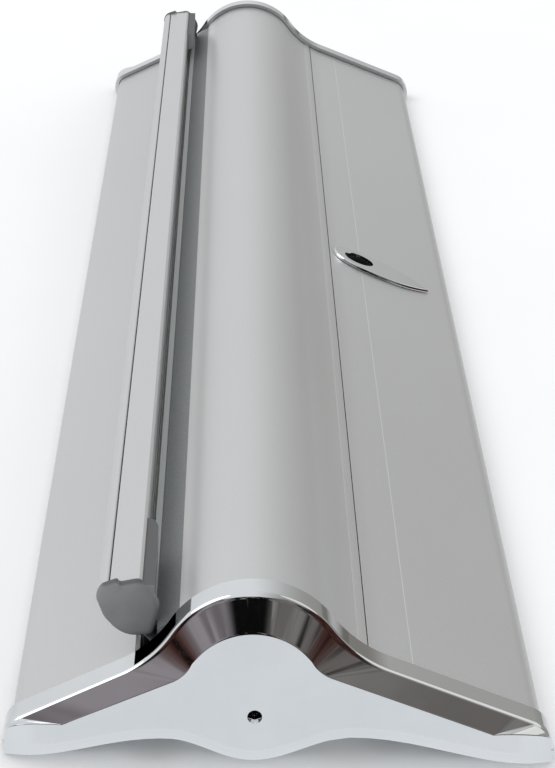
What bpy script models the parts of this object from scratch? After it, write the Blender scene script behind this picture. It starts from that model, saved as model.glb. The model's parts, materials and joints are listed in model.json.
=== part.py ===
"""Roll-up banner stand, closed: a long low cassette with the banner wound up inside it.

X runs along the cassette, -Y is the front with the banner slot and the top rail, +Y is the rear
wing with the pole socket, and Z is up from the floor. The drawing below is in barrel
coordinates (y from the barrel's middle plane, z from the floor); the empty stand_frame shifts it
so that the origin is the middle of the footprint.
"""

import math

import bmesh
import bpy
from mathutils import Matrix, Vector
from mathutils.geometry import tessellate_polygon

MM = 0.001

# Cassette, in section
BODY_HALF = 438 * MM          # middle to the outer top edge of an end cap
CAP_NOSE = 7 * MM             # the cap's face stands this far beyond that edge
DOME_R = 33.2 * MM
DOME_Z = 27.7 * MM
FRONT_WING = dict(slope=0.4953, tip=(79.3 * MM, 13.0 * MM), fillet=39.7 * MM, tip_r=8.8 * MM)
REAR_WING = dict(slope=0.3766, tip=(95.8 * MM, 14.4 * MM), fillet=43.5 * MM, tip_r=10.3 * MM)
FRONT_ARCH = dict(height=7.6 * MM, peak=29.0 * MM, end=80.0 * MM)
REAR_ARCH = dict(height=9.2 * MM, peak=34.5 * MM, end=97.0 * MM)
RIM_WALL = 1.9 * MM           # the cap's rim over the extrusions
RIM_LENGTH = 11.5 * MM
CAP_INSIDE = BODY_HALF - 1.5 * MM  # inner side of the cap's end wall
FACE_DOME = (23.0 * MM, 26.2 * MM)  # radius and centre height of the end face's dome
FACE_FILLET = 14 * MM
FACE_CORNERS = ((63.5 * MM, 14.5 * MM), (80.9 * MM, 13.4 * MM))  # where its slopes end, front, rear
FACE_SLOPES = (0.453, 0.366)
FACE_FOOT = 5.5 * MM          # height of the face's wing tips above the floor
GAP = 0.3 * MM
WALL = 1.6 * MM
SKIN_INSET = RIM_WALL + GAP   # the extrusions lie this far under the cap's outline
BODY_SHIFT = -9.2 * MM        # the rear wing is the longer one

# Slot, ledge and seams
FLANK_EDGE = 35.5             # degrees above level where the dome's front ends in an edge
FLANK_FOOT = (33.4 * MM, 40.5 * MM)
LEDGE_Z = 41.0 * MM
LEDGE_TIP_Y = 35.8 * MM
SLOT_WALL_Y = 39.9 * MM       # outer face of the slot's front wall
SLOT_WALL_TOP = 35.0 * MM
SEAM_Y = 39.0 * MM            # rear edge of the barrel housing
FLOOR_CLEAR = 0.8 * MM        # the housing's lowest line above the floor
EXTRUSION_HALF = BODY_HALF - 4.9 * MM

# Roller and spring
ROLLER_Y, ROLLER_Z = 0.8 * MM, 18.6 * MM
TUBE_R, TUBE_BORE = 10.0 * MM, 8.8 * MM
PLUG_R = TUBE_BORE - GAP
PLUG_SEAT, PLUG_END = 428.3 * MM, 430.5 * MM
ROLL_R = 15.7 * MM
FILM = 0.20 * MM
FILM_HALF = 419 * MM          # a 33 inch banner
ROLLER_HALF = 428 * MM
AXLE_R = 3.5 * MM
KEY_HOLE_R = 2.25 * MM
PLATE = (BODY_HALF - 4.6 * MM, BODY_HALF - 1.8 * MM)  # inner and outer side of an end plate
PLATE_REACH = (-79 * MM, 90 * MM)
# Screw ports in the extrusions' ends: (y, z) and the way each port's slit faces, in degrees
PORTS = {
    "barrel_housing": ((-35.6 * MM, 20 * MM, 0), (34.8 * MM, 21 * MM, 180), (0, 54.7 * MM, 270)),
    "front_wing": ((-75.0 * MM, 8.6 * MM, 0),),
    "rear_wing": ((86.0 * MM, 11.8 * MM, 180),),
}
# Lugs on the end caps that reach through the end plates into the wings: (y0, y1, z0, z1)
LUGS = ((-50.4 * MM, -44.4 * MM, 10.0 * MM, 13.0 * MM), (50.9 * MM, 56.9 * MM, 10.4 * MM, 13.4 * MM))
PORT_R, PORT_BORE, SCREW_R = 3.1 * MM, 1.95 * MM, 1.6 * MM

# Top rail
RAIL_HALF = 422.5 * MM
RAIL_CAP = 3.0 * MM
RAIL_BODY_HALF = RAIL_HALF - RAIL_CAP - GAP
RAIL_WALL = 1.4 * MM
TONGUE = 57 * MM              # how far a rail cap's tongue reaches along the rail
JAW_PIVOT = (-49.5 * MM, 55.0 * MM)
RAIL_FLOOR = 39.3 * MM        # lower edge of the rail's back wall
FILM_Y = -39.6 * MM           # where the film hangs from the rail

# Pole and its socket
SOCKET_X, SOCKET_Y = -11 * MM, 53.9 * MM
SOCKET_BORE = 7.0 * MM
SOCKET_R = 9.2 * MM
SOCKET_FLOOR = 2.8 * MM
# Leaf: half its width, its reach behind and before the hole, how far it leans, underside, top
ESCUTCHEON = dict(width=12.5 * MM, back=13.9 * MM, length=36.5 * MM, lean=0.18,
                  lift=0.3 * MM, height=1.8 * MM)
POLE_R = 6.35 * MM
POLE_WALL = 1.0 * MM
POLE_HALF = 340 * MM
POLE_Z = 7.2 * MM
POLE_PLACES = {"lower": -50.0 * MM, "middle": -64.2 * MM, "upper": 70.6 * MM}
CLIP_X = 220 * MM
CLIP_LENGTH = 18 * MM

MATERIALS = {
    "satin_aluminium": ((0.60, 0.61, 0.62), 0.38, 1.0),
    "chrome": ((0.80, 0.82, 0.84), 0.08, 1.0),
    "grey_plastic": ((0.20, 0.21, 0.22), 0.55, 0.0),
    "black_plastic": ((0.03, 0.03, 0.03), 0.5, 0.0),
    "white_plastic": ((0.72, 0.72, 0.70), 0.45, 0.0),
    "zinc_steel": ((0.55, 0.56, 0.57), 0.35, 1.0),
    "spring_steel": ((0.22, 0.22, 0.24), 0.4, 1.0),
    "rubber": ((0.02, 0.02, 0.02), 0.85, 0.0),
    "felt": ((0.04, 0.04, 0.045), 0.95, 0.0),
    "film": ((0.85, 0.85, 0.84), 0.4, 0.0),
}


def clear_scene():
    for obj in list(bpy.data.objects):
        bpy.data.objects.remove(obj, do_unlink=True)


def material(name):
    found = bpy.data.materials.get(name)
    if found:
        return found
    color, roughness, metallic = MATERIALS[name]
    made = bpy.data.materials.new(name)
    made.use_nodes = True
    shader = made.node_tree.nodes["Principled BSDF"]
    shader.inputs["Base Color"].default_value = (*color, 1)
    shader.inputs["Roughness"].default_value = roughness
    shader.inputs["Metallic"].default_value = metallic
    made.diffuse_color = (*color, 1)
    return made


def empty(name, parent=None, at=(0, 0, 0)):
    made = bpy.data.objects.new(name, None)
    made.empty_display_size = 0.02
    made.parent = parent
    made.location = at
    bpy.context.scene.collection.objects.link(made)
    return made


def add_object(name, bm, finish, parent, smooth=30):
    """Puts the mesh, drawn in barrel coordinates, under its parent without moving it."""
    bmesh.ops.recalc_face_normals(bm, faces=bm.faces)
    mesh = bpy.data.meshes.new(name)
    bm.to_mesh(mesh)
    bm.free()
    mesh.shade_smooth()
    mesh.set_sharp_from_angle(angle=math.radians(smooth))
    made = bpy.data.objects.new(name, mesh)
    bpy.context.scene.collection.objects.link(made)
    if finish is None:
        made.hide_render = True
        made.display_type = "WIRE"
    else:
        mesh.materials.append(material(finish))
    if parent:
        offset = parent.location.copy() if parent.parent else Vector()
        mesh.transform(Matrix.Translation(-offset))
        made.parent = parent
    return made


def boolean(target, cutter, operation="DIFFERENCE"):
    step = target.modifiers.new(operation.lower(), "BOOLEAN")
    step.operation = operation
    step.solver = "EXACT"
    step.object = cutter


# Outlines: lists of (y, z) points, the y positive outwards on either wing


def arc(centre, radius, start, end, count):
    """Points on an arc, angles in degrees from +y towards +z."""
    points = []
    for i in range(count + 1):
        angle = math.radians(start + (end - start) * i / count)
        points.append((centre[0] + radius * math.cos(angle), centre[1] + radius * math.sin(angle)))
    return points


def mirrored(points):
    return [(-y, z) for y, z in points]


def wing_fillet(wing, dome_r=DOME_R, dome_z=DOME_Z):
    """Centre of the hollow that joins the dome to a wing's slope, and the slope's angle."""
    angle = math.atan(wing["slope"])
    normal = Vector((math.sin(angle), math.cos(angle)))
    along = Vector((-math.cos(angle), math.sin(angle)))
    start = Vector(wing["tip"]) + wing["fillet"] * normal - Vector((0, dome_z))
    reach = dome_r + wing["fillet"]
    half = start.dot(along)
    travel = -half - math.sqrt(half * half - start.length_squared + reach * reach)
    centre = start + travel * along + Vector((0, dome_z))
    return centre, math.degrees(angle)


def wing_top(wing, inset, dome_r=DOME_R, dome_z=DOME_Z):
    """From the top of the dome out to the wing's tip, moved inwards by inset."""
    centre, angle = wing_fillet(wing, dome_r, dome_z)
    to_dome = math.degrees(math.atan2(dome_z - centre.y, -centre.x))
    points = arc((0, dome_z), dome_r - inset, 90, to_dome + 180, 10)
    hollow = arc(centre, wing["fillet"] + inset, to_dome + 360, 270 - angle, 8)
    normal = (math.sin(math.radians(angle)), math.cos(math.radians(angle)))
    end = (wing["tip"][0] - inset * normal[0], wing["tip"][1] - inset * normal[1])
    return points + hollow[1:] + [end]


def wing_tip(wing, inset, steps=5):
    """The rounded tip, from the end of the slope down to its outermost point."""
    angle = math.atan(wing["slope"])
    radius = wing["tip_r"]
    centre = (wing["tip"][0] - radius * math.sin(angle), wing["tip"][1] - radius * math.cos(angle))
    return arc(centre, radius - inset, 90 - math.degrees(angle), 0, steps)[1:]


def wing_outline(wing, inset):
    return wing_top(wing, inset) + wing_tip(wing, inset)


def height_at(points, y):
    """Height of an outline that runs outwards, at y."""
    for (y0, z0), (y1, z1) in zip(points, points[1:]):
        if y0 <= y <= y1:
            return z0 + (z1 - z0) * (y - y0) / (y1 - y0)
    raise ValueError("y is off the outline")


def arch_height(wing_arch, y):
    """Underside of an end cap: it touches the floor under the barrel and at the tip."""
    if y < wing_arch["peak"]:
        return wing_arch["height"] / 2 * (1 - math.cos(math.pi * y / wing_arch["peak"]))
    share = min((y - wing_arch["peak"]) / (wing_arch["end"] - wing_arch["peak"]), 1)
    return wing_arch["height"] / 2 * (1 + math.cos(math.pi * share))


def wall(points, thickness):
    """Closed outline of a thin wall that lies to the right of the line of points."""
    vectors = [Vector(p) for p in points]
    inner = []
    for i, point in enumerate(vectors):
        before = (point - vectors[i - 1]).normalized() if i else None
        after = (vectors[i + 1] - point).normalized() if i < len(vectors) - 1 else None
        before, after = before or after, after or before
        normal_a = Vector((before.y, -before.x))
        normal_b = Vector((after.y, -after.x))
        middle = (normal_a + normal_b).normalized()
        inner.append(point + middle * thickness / middle.dot(normal_a))
    return [tuple(v) for v in vectors] + [tuple(v) for v in reversed(inner)]


def prism(outline, x0, x1):
    """A bmesh prism of a (y, z) outline along X."""
    bm = bmesh.new()
    ends = [[bm.verts.new((x, y, z)) for y, z in outline] for x in (x0, x1)]
    count = len(outline)
    for i in range(count):
        j = (i + 1) % count
        bm.faces.new((ends[0][i], ends[0][j], ends[1][j], ends[1][i]))
    for triangle in tessellate_polygon([[Vector((y / MM, z / MM, 0)) for y, z in outline]]):
        for ring in ends:
            bm.faces.new([ring[i] for i in triangle])
    return bm


def rod(x0, x1, y, z, radius, steps=20, bore=0.0):
    """A round bar, or a tube with a bore, along X."""
    bm = bmesh.new()
    rings = []
    for r in (radius, bore) if bore else (radius,):
        for x in (x0, x1):
            circle = arc((y, z), r, 0, 360, steps)[:-1]
            rings.append([bm.verts.new((x, *p)) for p in circle])
    for i in range(steps):
        j = (i + 1) % steps
        bm.faces.new((rings[0][i], rings[0][j], rings[1][j], rings[1][i]))
        if bore:
            bm.faces.new((rings[2][i], rings[3][i], rings[3][j], rings[2][j]))
            bm.faces.new((rings[0][i], rings[2][i], rings[2][j], rings[0][j]))
            bm.faces.new((rings[1][i], rings[1][j], rings[3][j], rings[3][i]))
    if not bore:
        bm.faces.new(rings[0])
        bm.faces.new(rings[1])
    return bm


def turned(profile, y, z, steps=20, side=1):
    """A solid turned about the X line through (y, z); profile is (x, radius) from end to end."""
    bm = bmesh.new()
    rings = []
    for x, radius in profile:
        circle = arc((y, z), radius, 0, 360, steps)[:-1]
        rings.append([bm.verts.new((side * x, *p)) for p in circle])
    for a, b in zip(rings, rings[1:]):
        for i in range(steps):
            j = (i + 1) % steps
            bm.faces.new((a[i], a[j], b[j], b[i]))
    bm.faces.new(rings[0])
    bm.faces.new(rings[-1])
    return bm


def sleeve(profile, y, z, steps=20, side=1):
    """A ring turned about the X line through (y, z); profile is a closed (x, radius) loop."""
    bm = bmesh.new()
    rings = []
    for x, radius in profile:
        circle = arc((y, z), radius, 0, 360, steps)[:-1]
        rings.append([bm.verts.new((side * x, *p)) for p in circle])
    for a, b in zip(rings, rings[1:] + rings[:1]):
        for i in range(steps):
            j = (i + 1) % steps
            bm.faces.new((a[i], a[j], b[j], b[i]))
    return bm


def box(x0, x1, y0, y1, z0, z1):
    return prism([(y0, z0), (y1, z0), (y1, z1), (y0, z1)], x0, x1)


def column(x, y, z0, z1, radius):
    """A round vertical bar."""
    bm = bmesh.new()
    bmesh.ops.create_cone(
        bm, cap_ends=True, segments=24, radius1=radius, radius2=radius, depth=z1 - z0,
        matrix=Matrix.Translation((x, y, (z0 + z1) / 2)))
    return bm


# Cassette


def front_flank():
    """Barrel housing in front: the dome, a flat flank and the raised ledge over the slot."""
    dome = arc((0, DOME_Z), DOME_R - SKIN_INSET, 90, FLANK_EDGE, 8)
    lip = (FLANK_FOOT[0] + 0.15 * MM, LEDGE_Z)
    return dome + [FLANK_FOOT, lip, (LEDGE_TIP_Y, LEDGE_Z)]


def underside(wing_arch, y_from, y_to, steps):
    """The housing's bottom, which follows the cap's arch from the inside."""
    points = []
    for i in range(steps + 1):
        y = y_from + (y_to - y_from) * i / steps
        points.append((y, arch_height(wing_arch, abs(y)) + FLOOR_CLEAR))
    return points


def add_ports(made, parent):
    """C-shaped screw ports that run the length of an extrusion and grow out of its wall."""
    for y, z, slit in PORTS[made.name]:
        outline = arc((y, z), PORT_R, slit + 28, slit + 332, 12)
        outline += arc((y, z), PORT_BORE, slit + 332, slit + 28, 12)
        half = EXTRUSION_HALF - 0.5 * MM
        port = add_object(made.name + "_port", prism(outline, -half, half), None, parent)
        boolean(made, port, "UNION")


def barrel_housing(parent):
    """One C-shaped extrusion: slot ledge, dome, rear wall, floor and the slot's front wall."""
    rear = wing_top(REAR_WING, SKIN_INSET)
    corner = (SEAM_Y, height_at(rear, SEAM_Y))
    rear = [p for p in rear if p[0] < SEAM_Y - 0.5 * MM] + [corner]
    line = mirrored(front_flank())[::-1] + rear[1:]
    line += underside(REAR_ARCH, SEAM_Y, 0, 8)
    line += mirrored(underside(FRONT_ARCH, 0, SLOT_WALL_Y, 8))[1:]
    line += [(-SLOT_WALL_Y, SLOT_WALL_TOP)]
    bm = prism(wall(line, WALL), -EXTRUSION_HALF, EXTRUSION_HALF)
    made = add_object("barrel_housing", bm, "satin_aluminium", parent)
    add_ports(made, parent)
    for side in (-1, 1):
        # The ledge stops short of the rail's end caps, and the flank stops short of the cap's rim.
        for x, y0, y1, z in ((418.5, -38.0, -32.6, 37.5), (425.5, -38.0, -25.0, 37.5),
                             (425.5, -41.0, -38.0, 30.2)):
            notch = box(side * x * MM, side * (BODY_HALF + 5 * MM), y0 * MM, y1 * MM, z * MM, 47 * MM)
            boolean(made, add_object("notch_cutter", notch, None, parent))


def wing_wall(wing, y_start, floor_return):
    """A wing's skin with its inner web, its rounded tip and a short floor return."""
    top = wing_outline(wing, SKIN_INSET)
    start = (y_start, height_at(top, y_start))
    line = [(y_start, 14 * MM), start] + [p for p in top if p[0] > y_start + 0.5 * MM]
    tip_y = line[-1][0]
    line += arc((tip_y - 2.4 * MM, 3.6 * MM), 2.4 * MM, 0, -90, 3)
    return wall(line + [(tip_y - floor_return, 1.2 * MM)], WALL)


def front_wing(parent):
    outline = mirrored(wing_wall(FRONT_WING, SLOT_WALL_Y + GAP, 9 * MM))
    bm = prism(outline, -EXTRUSION_HALF, EXTRUSION_HALF)
    add_ports(add_object("front_wing", bm, "satin_aluminium", parent), parent)


def rear_wing(parent):
    bm = prism(wing_wall(REAR_WING, SEAM_Y + 1.3 * GAP, 12 * MM), -EXTRUSION_HALF, EXTRUSION_HALF)
    made = add_object("rear_wing", bm, "satin_aluminium", parent)
    add_ports(made, parent)
    hole = column(SOCKET_X, SOCKET_Y, 15 * MM, 45 * MM, SOCKET_R + GAP)
    boolean(made, add_object("socket_hole_cutter", hole, None, parent))


def cap_face_outline(wing, corner, slope, steps=6):
    """The flat end face's top edge on one side: a smaller dome, a slope and a level tip."""
    face = dict(slope=slope, tip=corner, fillet=FACE_FILLET)
    points = wing_top(face, 0, *FACE_DOME)
    level, end = corner[1] - 0.6 * MM, wing["tip"][0] + 3.2 * MM
    for i in range(1, steps):
        angle = math.pi / 2 * i / (steps - 1)
        y = corner[0] + (end - corner[0]) * math.sin(angle) ** 0.8
        z = FACE_FOOT + (level - FACE_FOOT) * max(math.cos(angle), 0) ** 0.5
        points.append((y, z))
    return points


def cap_outlines():
    """Top outlines of an end cap over both wings: its rim's, and its end face's."""
    outer, face = [], []
    for wing, corner, slope in zip((FRONT_WING, REAR_WING), FACE_CORNERS, FACE_SLOPES):
        outer.append(wing_outline(wing, 0))
        face.append(cap_face_outline(wing, corner, slope))
    return [mirrored(front)[::-1] + rear[1:] for front, rear in (outer, face)]


def nose_at(y):
    """How far the cap's face stands out at y: it is rounded back at both wing tips."""
    wing = FRONT_WING if y < 0 else REAR_WING
    start, end = wing["tip"][0] - 14 * MM, wing["tip"][0] + 5.2 * MM
    share = min(max((abs(y) - start) / (end - start), 0), 1)
    return CAP_NOSE * math.sqrt(1 - 0.92 * share * share)


def end_cap(name, side, parent):
    """A chrome cap: a bevelled, arched end face and a rim that sleeves the extrusions."""
    outer, face = cap_outlines()
    bm = bmesh.new()
    tops, bottoms = [], []

    def ring(x_of, points, lift):
        tops.append([bm.verts.new((side * x_of(f), y, z)) for (y, z), (f, _) in zip(points, face)])
        low = []
        for fy, _ in face:
            wing_arch = FRONT_ARCH if fy < 0 else REAR_ARCH
            z = arch_height(wing_arch, abs(fy)) + lift
            low.append(bm.verts.new((side * x_of(fy), fy, z)))
        bottoms.append(low)

    ring(lambda y: BODY_HALF - RIM_LENGTH, outer, 0)
    ring(lambda y: BODY_HALF, outer, 0)
    half_way = [((a + c) / 2, (b + d) / 2) for (a, b), (c, d) in zip(outer, face)]
    ring(lambda y: BODY_HALF + 0.5 * nose_at(y), half_way, 0)
    ring(lambda y: BODY_HALF + nose_at(y), face, 5.0 * MM)
    for level in (tops, bottoms):
        for a, b in zip(level, level[1:]):
            for i in range(len(face) - 1):
                bm.faces.new((a[i], a[i + 1], b[i + 1], b[i]))
    for i in range(len(face) - 1):
        for k in (0, -1):
            bm.faces.new((tops[k][i], tops[k][i + 1], bottoms[k][i + 1], bottoms[k][i]))
    for k in (0, -1):
        for a in range(len(tops) - 1):
            bm.faces.new((tops[a][k], tops[a + 1][k], bottoms[a + 1][k], bottoms[a][k]))
    made = add_object(name, bm, "chrome", parent, smooth=28)
    sleeve_top = mirrored(wing_outline(FRONT_WING, RIM_WALL))[::-1]
    sleeve_top += wing_outline(REAR_WING, RIM_WALL)[1:]
    room = [(sleeve_top[0][0], -20 * MM)] + sleeve_top + [(sleeve_top[-1][0], -20 * MM)]
    x_in, x_out = BODY_HALF - 30 * MM, CAP_INSIDE
    boolean(made, add_object(name + "_room", prism(room, side * x_in, side * x_out), None, parent))
    # Two shallow hollows behind the face keep the casting's walls even.
    for low, high in ((-62 * MM, -8 * MM), (8 * MM, 76 * MM)):
        hollow = [(y, 12 * MM) for y in (low, high)]
        hollow += [(y, height_at(face, y) - 2.6 * MM) for y in spread(high, low, 12)]
        cut = prism(hollow, side * (x_out - 1 * MM), side * (BODY_HALF + 3.5 * MM))
        boolean(made, add_object(name + "_hollow", cut, None, parent))
    for y, z in screw_places():
        cut = rod(side * (x_out - 1 * MM), side * (BODY_HALF + 0.6 * MM), y, z, 3.9 * MM, 16)
        boolean(made, add_object(name + "_pocket", cut, None, parent))
    for y0, y1, z0, z1 in LUGS:
        lug = box(side * (EXTRUSION_HALF - 7 * MM), side * (x_out + 1 * MM), y0, y1, z0, z1)
        boolean(made, add_object(name + "_lug", lug, None, parent), "UNION")
    key = rod(side * x_in, side * (BODY_HALF + 20 * MM), ROLLER_Y, ROLLER_Z, KEY_HOLE_R, 20)
    boolean(made, add_object(name + "_key_hole", key, None, parent))


def spread(start, end, count):
    return [start + (end - start) * i / count for i in range(count + 1)]


def bearing_plate(name, side, parent):
    """Flat steel plate screwed to the ends of the three extrusions; it carries the roller."""
    line = mirrored(wing_outline(FRONT_WING, SKIN_INSET + 0.5 * MM))[::-1]
    line += wing_outline(REAR_WING, SKIN_INSET + 0.5 * MM)[1:]
    low, high = PLATE_REACH
    heights = [(low, height_at(line, low))] + [p for p in line if low < p[0] < high]
    heights.append((high, height_at(line, high)))
    bottom = [(y, arch_height(REAR_ARCH if y > 0 else FRONT_ARCH, abs(y)) + 1.2 * MM)
              for y in spread(high, low, 20)]
    bm = prism(heights + bottom, side * PLATE[0], side * PLATE[1])
    made = add_object(name, bm, "zinc_steel", parent)
    bore = 5.3 * MM if side < 0 else AXLE_R + 0.15 * MM
    cut = rod(side * (PLATE[0] - 9 * MM), side * (PLATE[1] + 9 * MM), ROLLER_Y, ROLLER_Z, bore, 24)
    boolean(made, add_object(name + "_bore", cut, None, parent))
    for y0, y1, z0, z1 in LUGS:
        window = box(side * (PLATE[0] - 9 * MM), side * (PLATE[1] + 9 * MM),
                     y0 - GAP, y1 + GAP, z0 - GAP, z1 + GAP)
        boolean(made, add_object(name + "_window", window, None, parent))
    for y, z in screw_places():
        cut = rod(side * (PLATE[0] - 9 * MM), side * (PLATE[1] + 9 * MM), y, z, 2.0 * MM, 12)
        boolean(made, add_object(name + "_hole", cut, None, parent))


def screw_places():
    return [(y, z) for ports in PORTS.values() for y, z, _ in ports]


def plate_screws(name, side, parent):
    """Pan-head screws through an end plate into the extrusions' ports."""
    x = PLATE[1] + 0.1 * MM
    for number, (y, z) in enumerate(screw_places(), 1):
        profile = ((x - 13 * MM, 1.0 * MM), (x - 11.5 * MM, SCREW_R), (x, SCREW_R), (x, 3.2 * MM),
                   (x + 0.9 * MM, 3.0 * MM), (x + 1.6 * MM, 2.0 * MM))
        bm = turned(profile, y, z, 12, side)
        add_object(f"{name}_{number}", bm, "zinc_steel", parent)


def floor_pad(name, x, y0, y1, parent):
    """Rubber strip under a wing's floor return."""
    half = 16 * MM
    add_object(name, box(x - half, x + half, y0, y1, 0, 0.9 * MM), "rubber", parent)


def slot_felt(parent):
    bm = box(-FILM_HALF, FILM_HALF, -38.0 * MM, -37.3 * MM, 29 * MM, 34.8 * MM)
    add_object("slot_felt", bm, "felt", parent)


def on_rear_slope(bm):
    """Stands a shape drawn round the origin on the rear wing's slope, over the pole hole."""
    top = height_at(wing_outline(REAR_WING, SKIN_INSET), SOCKET_Y)
    tilt = Matrix.Rotation(-math.atan(REAR_WING["slope"]), 4, "X")
    bm.transform(Matrix.Translation((SOCKET_X, SOCKET_Y, top)) @ tilt)
    return bm


def pole_socket(parent):
    """Blind plastic cup for the pole's foot, from the floor to the slope of the rear wing."""
    bm = bmesh.new()
    rings = []
    above = 38 * MM               # clear of the slope, which trims the cup's mouth
    for radius, z in ((SOCKET_R, 1.2 * MM), (SOCKET_R, above), (SOCKET_BORE, above),
                      (SOCKET_BORE, SOCKET_FLOOR)):
        circle = arc((SOCKET_X, SOCKET_Y), radius, 0, 360, 24)[:-1]
        rings.append([bm.verts.new((x, y, z)) for x, y in circle])
    for a, b in zip(rings, rings[1:]):
        for i in range(24):
            j = (i + 1) % 24
            bm.faces.new((a[i], a[j], b[j], b[i]))
    bm.faces.new(rings[0])
    bm.faces.new(rings[-1])
    made = add_object("pole_socket", bm, "black_plastic", parent)
    half = 20 * MM
    trim = on_rear_slope(box(-half, half, -half, half, 0, half))
    boolean(made, add_object("socket_mouth_cutter", trim, None, parent))


def escutcheon_half_width(s):
    """Half the leaf's width at s along the wing's slope: a round end that draws to a point."""
    width, length = ESCUTCHEON["width"], ESCUTCHEON["length"]
    if s < 0:
        return width * math.sqrt(max(1 - (s / ESCUTCHEON["back"]) ** 2, 0))
    return width * math.cos(math.pi / 2 * (s / length) ** 1.6)


def escutcheon(parent):
    """Leaf-shaped chrome plate round the pole hole, lying on the slope of the rear wing."""
    back, length = ESCUTCHEON["back"], ESCUTCHEON["length"]
    stations = [-back * math.cos(math.radians(a)) for a in range(15, 90, 15)]
    stations += spread(0, length * 0.97, 10)
    rim = [(escutcheon_half_width(s), s) for s in stations]
    outline = [(0, -back)] + rim + [(0, length)] + [(-x, s) for x, s in reversed(rim)]
    low, high = ESCUTCHEON["lift"], ESCUTCHEON["height"]
    bm = bmesh.new()
    rings = []
    for lift, share in ((low, 1.0), (high - 0.7 * MM, 1.0), (high, 0.94)):
        ring = [((x + ESCUTCHEON["lean"] * s) * share, s * share, lift) for x, s in outline]
        rings.append([bm.verts.new(point) for point in ring])
    for a, b in zip(rings, rings[1:]):
        for i in range(len(outline)):
            j = (i + 1) % len(outline)
            bm.faces.new((a[i], a[j], b[j], b[i]))
    bm.faces.new(rings[0])
    bm.faces.new(rings[-1])
    made = add_object("pole_escutcheon", on_rear_slope(bm), "chrome", parent)
    bore = column(SOCKET_X, SOCKET_Y, 0, 60 * MM, SOCKET_BORE)
    boolean(made, add_object("escutcheon_bore", bore, None, parent))


# Roller


def bearing_bush(parent):
    profile = [(x * MM, r * MM) for x, r in
               ((432.0, 4.15), (432.0, 6.6), (433.1, 6.6), (433.1, 5.0), (435.9, 5.0), (435.9, 4.15))]
    add_object("idler_bush", sleeve(profile, ROLLER_Y, ROLLER_Z, 24, -1), "white_plastic", parent)


def roller_tube(parent):
    bm = rod(-ROLLER_HALF, ROLLER_HALF, ROLLER_Y, ROLLER_Z, TUBE_R, 28, TUBE_BORE)
    add_object("roller_tube", bm, "satin_aluminium", parent)


def banner_roll(parent):
    bm = rod(-FILM_HALF, FILM_HALF, ROLLER_Y, ROLLER_Z, ROLL_R, 40, TUBE_R + GAP)
    add_object("banner_roll", bm, "film", parent)


def idler_plug(parent):
    """Plastic plug with a steel-thin stub that turns in the bush at the left end."""
    profile = [(410 * MM, PLUG_R), (PLUG_SEAT, PLUG_R), (PLUG_SEAT, TUBE_R), (PLUG_END, TUBE_R)]
    profile += [(x * MM, r * MM) for x, r in ((430.5, 4.0), (435.8, 4.0), (436.1, 3.7))]
    add_object("idler_plug", turned(profile, ROLLER_Y, ROLLER_Z, 24, -1), "black_plastic", parent)


def spring_plug(parent):
    """Plug at the right end: it turns with the tube and runs on the fixed axle."""
    bore = AXLE_R + 0.25 * MM
    profile = [(410 * MM, bore), (410 * MM, PLUG_R), (PLUG_SEAT, PLUG_R), (PLUG_SEAT, TUBE_R),
               (PLUG_END, TUBE_R), (PLUG_END, bore)]
    add_object("spring_plug", sleeve(profile, ROLLER_Y, ROLLER_Z, 24), "black_plastic", parent)


def spring_axle(parent):
    """Fixed axle with a hex socket at its outer end; turning it sets the spring's tension."""
    profile = [(x * MM, r * MM) for x, r in
               ((60, 3.2), (61, 3.5), (431.2, 3.5), (431.2, 6.0), (433.0, 6.0), (433.0, 3.5),
                (435.9, 3.5), (436.2, 3.2))]
    made = add_object("spring_axle", turned(profile, ROLLER_Y, ROLLER_Z, 24), "zinc_steel", parent)
    socket = rod(429 * MM, 450 * MM, ROLLER_Y, ROLLER_Z, 2.2 * MM, 6)
    boolean(made, add_object("hex_socket_cutter", socket, None, parent))


def torsion_spring(parent):
    """Helical spring round the axle, drawn with its coils apart."""
    coils, per_coil, wire = 20, 10, 0.9 * MM
    start, end, radius = 90 * MM, 400 * MM, 6.6 * MM
    bm = bmesh.new()
    rings = []
    for i in range(coils * per_coil + 1):
        angle = 2 * math.pi * i / per_coil
        x = start + (end - start) * i / (coils * per_coil)
        ring = []
        for dx, dr in ((-wire, -wire), (wire, -wire), (wire, wire), (-wire, wire)):
            r = radius + dr
            y, z = ROLLER_Y + r * math.cos(angle), ROLLER_Z + r * math.sin(angle)
            ring.append(bm.verts.new((x + dx, y, z)))
        rings.append(ring)
    for a, b in zip(rings, rings[1:]):
        for i in range(4):
            j = (i + 1) % 4
            bm.faces.new((a[i], a[j], b[j], b[i]))
    bm.faces.new(rings[0])
    bm.faces.new(rings[-1])
    add_object("torsion_spring", bm, "spring_steel", parent)


def spring_anchor(parent):
    """Collar pinned on the axle that holds the spring's inner end."""
    profile = [(x * MM, r * MM) for x, r in ((76, 3.8), (76, 8.2), (88, 8.2), (88, 3.8))]
    add_object("spring_anchor", sleeve(profile, ROLLER_Y, ROLLER_Z, 20), "white_plastic", parent)


# Banner film


def film_inside(parent):
    """The length of film between the roll and the slot."""
    slot = (-37.1 * MM, 35.4 * MM)
    reach = math.hypot(slot[0] - ROLLER_Y, slot[1] - ROLLER_Z)
    toward = math.degrees(math.atan2(slot[1] - ROLLER_Z, slot[0] - ROLLER_Y))
    radius = ROLL_R + 0.4 * MM
    leave = toward + math.degrees(math.acos(radius / reach))
    start = arc((ROLLER_Y, ROLLER_Z), radius, leave, leave, 1)[0]
    bm = prism(wall([start, slot], FILM), -FILM_HALF, FILM_HALF)
    add_object("banner_film_inside", bm, "film", parent)


def banner_film(parent):
    """The film from the slot up into the rail's clamp; it grows as the rail goes up."""
    line = [(-37.3 * MM, 36.2 * MM), (FILM_Y, 38.9 * MM), (FILM_Y, 47 * MM)]
    add_object("banner_film", prism(wall(line, FILM), -FILM_HALF, FILM_HALF), "film", parent)


# Top rail


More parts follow.
